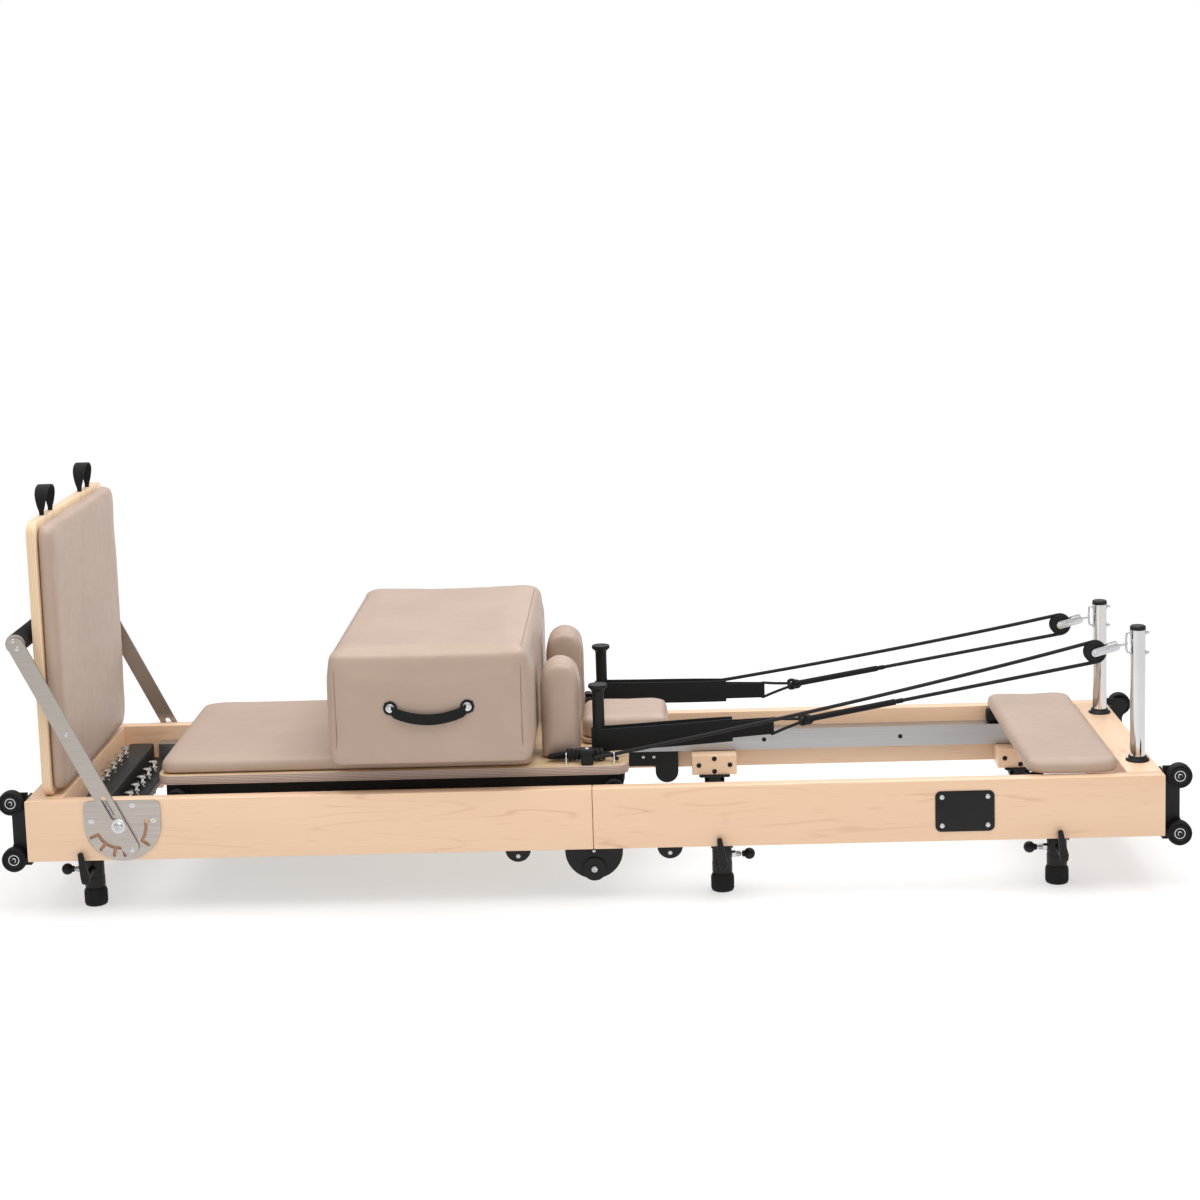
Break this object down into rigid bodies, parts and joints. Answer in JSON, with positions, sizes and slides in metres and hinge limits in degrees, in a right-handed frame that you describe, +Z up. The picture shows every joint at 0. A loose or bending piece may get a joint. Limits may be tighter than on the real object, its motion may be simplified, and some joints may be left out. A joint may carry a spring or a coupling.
{
  "type": "folding pilates reformer",
  "caption": "Folding wooden pilates reformer with sliding carriage, spring bar, footbar, jumpboard, sitting box, shoulder rests, and straps running over post pulleys.",
  "frame": {"origin": "on the floor, under the middle of the fold line", "axes": "+X from the footbar end to the pulley end, -Y the front side, +Z up"},
  "size_m": [2.496, 0.72, 0.896],
  "materials": {
    "maple": "clear satin lacquer over maple grain",
    "plywood": "clear lacquer with layered edges",
    "leather": "soft grained artificial leather, taupe",
    "black_steel": "fine powder coat, black",
    "black_rubber": "moulded, matt black",
    "aluminium": "anodised, satin",
    "stainless": "brushed along its length",
    "chrome": "polished",
    "webbing": "woven black webbing and braided cord"
  },
  "bodies": {
    "frame_left": {"end_beam_left": "maple", "spring_bar": "black_steel", "rail_front_left": "maple", "track_front_left": "aluminium", "footbar_plate_front": "stainless", "hinge_leaf_front_left": "black_steel", "wheel_bracket_front_left": "black_steel", "leg_socket_front_left": "black_steel", "rail_back_left": "maple", "track_back_left": "aluminium", "footbar_plate_back": "stainless", "hinge_leaf_back_left": "black_steel", "wheel_bracket_back_left": "black_steel", "leg_socket_back_left": "black_steel"},
    "frame_right": {"end_beam_right": "maple", "platform_pad": "leather", "rail_front_right": "maple", "track_front_right": "aluminium", "hinge_leaf_front_right": "black_steel", "wheel_bracket_front_right": "black_steel", "leg_socket_front_mid": "black_steel", "leg_socket_front_right": "black_steel", "post_front": "chrome", "rope_front": "webbing", "rail_back_right": "maple", "track_back_right": "aluminium", "hinge_leaf_back_right": "black_steel", "wheel_bracket_back_right": "black_steel", "leg_socket_back_mid": "black_steel", "leg_socket_back_right": "black_steel", "post_back": "chrome", "rope_back": "webbing"},
    "carriage": {"carriage_deck": "plywood", "carriage_pad": "leather", "carriage_chassis": "black_steel", "shoulder_rest_front": "leather", "shoulder_rest_back": "leather"},
    "headrest": {"headrest": "leather"},
    "sitting_box": {"sitting_box": "leather"},
    "jumpboard": {"jumpboard_panel": "plywood", "jumpboard_pad": "leather"},
    "footbar": {"footbar_frame": "stainless"},
    "foot_front_left": {"foot_front_left": "black_rubber"},
    "foot_front_mid": {"foot_front_mid": "black_rubber"},
    "foot_front_right": {"foot_front_right": "black_rubber"},
    "end_wheel_front_left_upper": {"end_wheel_front_left_upper": "black_rubber"},
    "end_wheel_front_left_lower": {"end_wheel_front_left_lower": "black_rubber"},
    "end_wheel_front_right_upper": {"end_wheel_front_right_upper": "black_rubber"},
    "end_wheel_front_right_lower": {"end_wheel_front_right_lower": "black_rubber"},
    "pulley_block_front": {"pulley_block_front": "chrome"},
    "sheave_front": {"sheave_front": "black_rubber"},
    "foot_back_left": {"foot_back_left": "black_rubber"},
    "foot_back_mid": {"foot_back_mid": "black_rubber"},
    "foot_back_right": {"foot_back_right": "black_rubber"},
    "end_wheel_back_left_upper": {"end_wheel_back_left_upper": "black_rubber"},
    "end_wheel_back_left_lower": {"end_wheel_back_left_lower": "black_rubber"},
    "end_wheel_back_right_upper": {"end_wheel_back_right_upper": "black_rubber"},
    "end_wheel_back_right_lower": {"end_wheel_back_right_lower": "black_rubber"},
    "pulley_block_back": {"pulley_block_back": "chrome"},
    "sheave_back": {"sheave_back": "black_rubber"}
  },
  "joints": [
    {"name": "fold", "type": "hinge", "parent": "frame_left", "child": "frame_right", "pos_m": [0, 0, 0.0665], "axis": [0, 1, 0], "range_deg": [0, 180]},
    {"name": "carriage_slide", "type": "slide", "parent": "frame_left", "child": "carriage", "axis": [1, 0, 0], "range_m": [0, 0.82], "deforming": ["rope_front", "rope_back"]},
    {"name": "headrest_tilt", "type": "hinge", "parent": "carriage", "child": "headrest", "pos_m": [-0.026, 0, 0.284], "axis": [0, -1, 0], "range_deg": [0, 35]},
    {"name": "sitting_box_lift", "type": "slide", "parent": "carriage", "child": "sitting_box", "axis": [0, 0, 1], "range_m": [0, 0.3]},
    {"name": "jumpboard_lift", "type": "slide", "parent": "frame_left", "child": "jumpboard", "axis": [0, 0, 1], "range_m": [0, 0.3]},
    {"name": "footbar_swing", "type": "hinge", "parent": "frame_left", "child": "footbar", "pos_m": [-0.992, 0, 0.194], "axis": [0, 1, 0], "range_deg": [-70, 0]},
    {"name": "foot_slide_front_left", "type": "slide", "parent": "frame_left", "child": "foot_front_left", "axis": [0, 0, 1], "range_m": [-0.04, 0]},
    {"name": "foot_slide_front_mid", "type": "slide", "parent": "frame_right", "child": "foot_front_mid", "axis": [0, 0, 1], "range_m": [-0.04, 0]},
    {"name": "foot_slide_front_right", "type": "slide", "parent": "frame_right", "child": "foot_front_right", "axis": [0, 0, 1], "range_m": [-0.04, 0]},
    {"name": "spin_end_wheel_front_left_upper", "type": "hinge", "parent": "frame_left", "child": "end_wheel_front_left_upper", "pos_m": [-1.222, -0.307, 0.243], "axis": [0, 1, 0], "continuous": true},
    {"name": "spin_end_wheel_front_left_lower", "type": "hinge", "parent": "frame_left", "child": "end_wheel_front_left_lower", "pos_m": [-1.222, -0.307, 0.12], "axis": [0, 1, 0], "continuous": true},
    {"name": "spin_end_wheel_front_right_upper", "type": "hinge", "parent": "frame_right", "child": "end_wheel_front_right_upper", "pos_m": [1.222, -0.307, 0.243], "axis": [0, 1, 0], "continuous": true},
    {"name": "spin_end_wheel_front_right_lower", "type": "hinge", "parent": "frame_right", "child": "end_wheel_front_right_lower", "pos_m": [1.222, -0.307, 0.12], "axis": [0, 1, 0], "continuous": true},
    {"name": "pulley_swivel_front", "type": "hinge", "parent": "frame_right", "child": "pulley_block_front", "pos_m": [1.132, -0.205, 0.503], "axis": [0, 0, 1], "range_deg": [-12, 12]},
    {"name": "spin_sheave_front", "type": "hinge", "parent": "pulley_block_front", "child": "sheave_front", "pos_m": [1.066, -0.205, 0.486], "axis": [0, 1, 0], "continuous": true},
    {"name": "foot_slide_back_left", "type": "slide", "parent": "frame_left", "child": "foot_back_left", "axis": [0, 0, 1], "range_m": [-0.04, 0]},
    {"name": "foot_slide_back_mid", "type": "slide", "parent": "frame_right", "child": "foot_back_mid", "axis": [0, 0, 1], "range_m": [-0.04, 0]},
    {"name": "foot_slide_back_right", "type": "slide", "parent": "frame_right", "child": "foot_back_right", "axis": [0, 0, 1], "range_m": [-0.04, 0]},
    {"name": "spin_end_wheel_back_left_upper", "type": "hinge", "parent": "frame_left", "child": "end_wheel_back_left_upper", "pos_m": [-1.222, 0.307, 0.243], "axis": [0, 1, 0], "continuous": true},
    {"name": "spin_end_wheel_back_left_lower", "type": "hinge", "parent": "frame_left", "child": "end_wheel_back_left_lower", "pos_m": [-1.222, 0.307, 0.12], "axis": [0, 1, 0], "continuous": true},
    {"name": "spin_end_wheel_back_right_upper", "type": "hinge", "parent": "frame_right", "child": "end_wheel_back_right_upper", "pos_m": [1.222, 0.307, 0.243], "axis": [0, 1, 0], "continuous": true},
    {"name": "spin_end_wheel_back_right_lower", "type": "hinge", "parent": "frame_right", "child": "end_wheel_back_right_lower", "pos_m": [1.222, 0.307, 0.12], "axis": [0, 1, 0], "continuous": true},
    {"name": "pulley_swivel_back", "type": "hinge", "parent": "frame_right", "child": "pulley_block_back", "pos_m": [1.132, 0.205, 0.475], "axis": [0, 0, 1], "range_deg": [-12, 12]},
    {"name": "spin_sheave_back", "type": "hinge", "parent": "pulley_block_back", "child": "sheave_back", "pos_m": [1.066, 0.205, 0.458], "axis": [0, 1, 0], "continuous": true}
  ]
}
